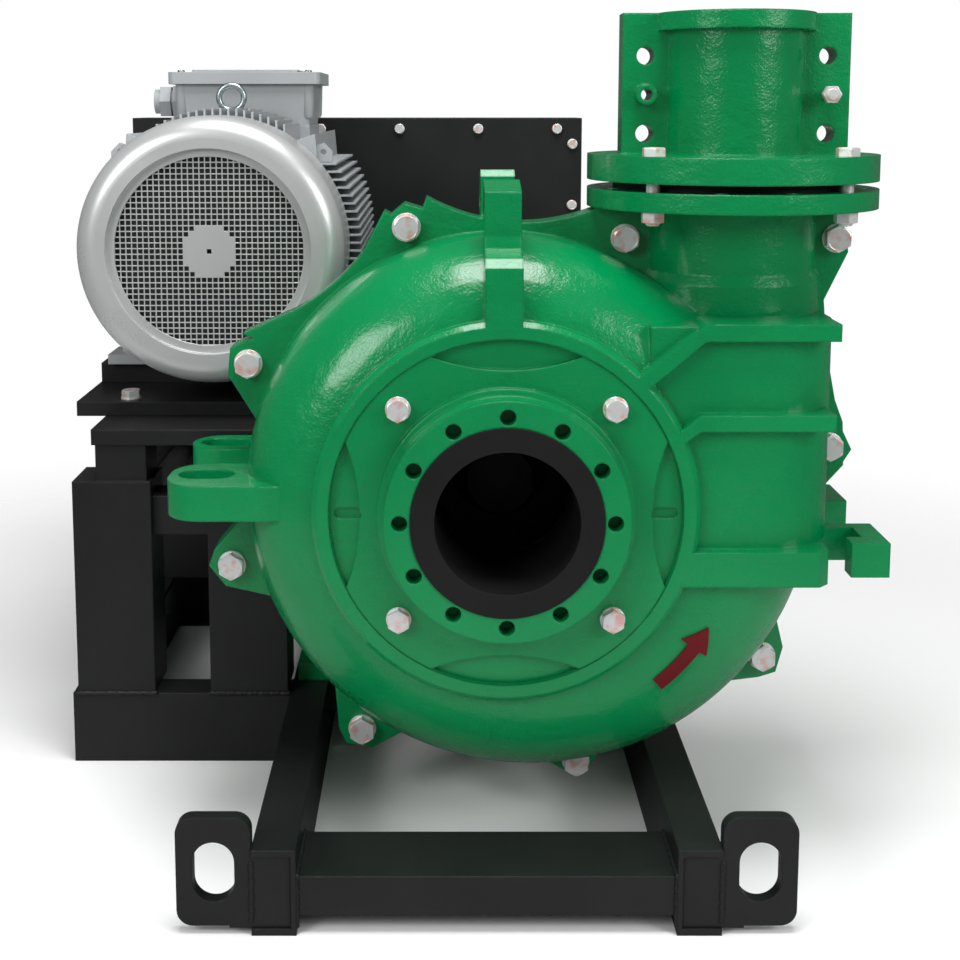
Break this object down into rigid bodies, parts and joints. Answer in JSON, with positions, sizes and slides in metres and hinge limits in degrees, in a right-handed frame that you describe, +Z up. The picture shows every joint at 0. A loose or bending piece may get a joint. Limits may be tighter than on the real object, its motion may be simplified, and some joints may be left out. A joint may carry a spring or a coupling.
{
  "type": "slurry pump",
  "caption": "Horizontal slurry pump with a split rubber-lined volute casing, bearing pedestal and side-by-side motor with belt drive on a welded base.",
  "frame": {"origin": "centre of the suction flange face, on the shaft line", "axes": "+Z up, +Y along the shaft away from the suction side towards the belt drive, +X to the right seen from the suction side"},
  "size_m": [1.31, 1.445, 1.237],
  "materials": {
    "green_paint": "glossy enamel over cast iron",
    "black_paint": "satin black paint",
    "grey_paint": "light grey satin paint",
    "rubber": "matte moulded rubber",
    "zinc": "zinc plated",
    "bare_steel": "turned and ground",
    "cast_iron": "plain casting, machined faces",
    "packing_fibre": "braided and greased",
    "fan_plastic": "moulded"
  },
  "bodies": {
    "pump_set": {"back_liner": "rubber", "base_rail_left": "black_paint", "base_rail_right": "black_paint", "bearing_housing": "green_paint", "bearing_outer_rings": "bare_steel", "cable_gland": "zinc", "casing_bolts": "zinc", "casing_front": "green_paint", "casing_rear": "green_paint", "cover_bolts": "zinc", "cowl_grille": "grey_paint", "discharge_seal": "rubber", "discharge_spool": "green_paint", "drive_end_shield": "grey_paint", "end_covers": "green_paint", "eye_bolt": "zinc", "fan_cowl": "grey_paint", "fan_end_shield": "grey_paint", "front_crossbar": "black_paint", "gland_studs": "zinc", "guard_bolts": "zinc", "guard_cover": "black_paint", "guard_legs": "black_paint", "guard_plate": "black_paint", "housing_straps": "green_paint", "jack_stud": "zinc", "lifting_lugs": "black_paint", "motor_bolts": "zinc", "motor_frame": "grey_paint", "motor_plate": "black_paint", "packing_rings": "packing_fibre", "pedestal": "green_paint", "pedestal_bolts": "zinc", "plate_bolts": "zinc", "rear_crossbars": "black_paint", "slide_rails": "black_paint", "spool_bolts": "zinc", "stand_beams": "black_paint", "stand_crossbeams": "black_paint", "stand_posts": "black_paint", "stand_top_plate": "black_paint", "stuffing_box": "cast_iron", "suction_cover": "green_paint", "suction_liner": "rubber", "terminal_box": "grey_paint", "terminal_lid": "grey_paint", "v_belts": "rubber", "volute_liner": "rubber"},
    "pump_rotor": {"impeller": "cast_iron", "shaft": "bare_steel", "shaft_sleeve": "bare_steel", "bearing_inner_rings": "bare_steel", "bearing_rollers": "bare_steel", "pump_pulley": "cast_iron"},
    "motor_rotor_set": {"motor_rotor": "bare_steel", "motor_fan": "fan_plastic", "motor_pulley": "cast_iron"},
    "gland": {"gland_follower": "cast_iron", "gland_nuts": "zinc"}
  },
  "joints": [
    {"name": "pump_shaft_spin", "type": "hinge", "parent": "pump_set", "child": "pump_rotor", "pos_m": [0, 0, 0], "axis": [0, 1, 0], "continuous": true},
    {"name": "motor_shaft_spin", "type": "hinge", "parent": "pump_set", "child": "motor_rotor_set", "pos_m": [-0.478, 0, 0.3233], "axis": [0, 1, 0], "continuous": true},
    {"name": "gland_slide", "type": "slide", "parent": "pump_set", "child": "gland", "axis": [0, 1, 0], "range_m": [0, 0.025]}
  ],
  "couplings": [
    {"joint": "motor_shaft_spin", "follows": "pump_shaft_spin", "ratio": 1.4792}
  ]
}
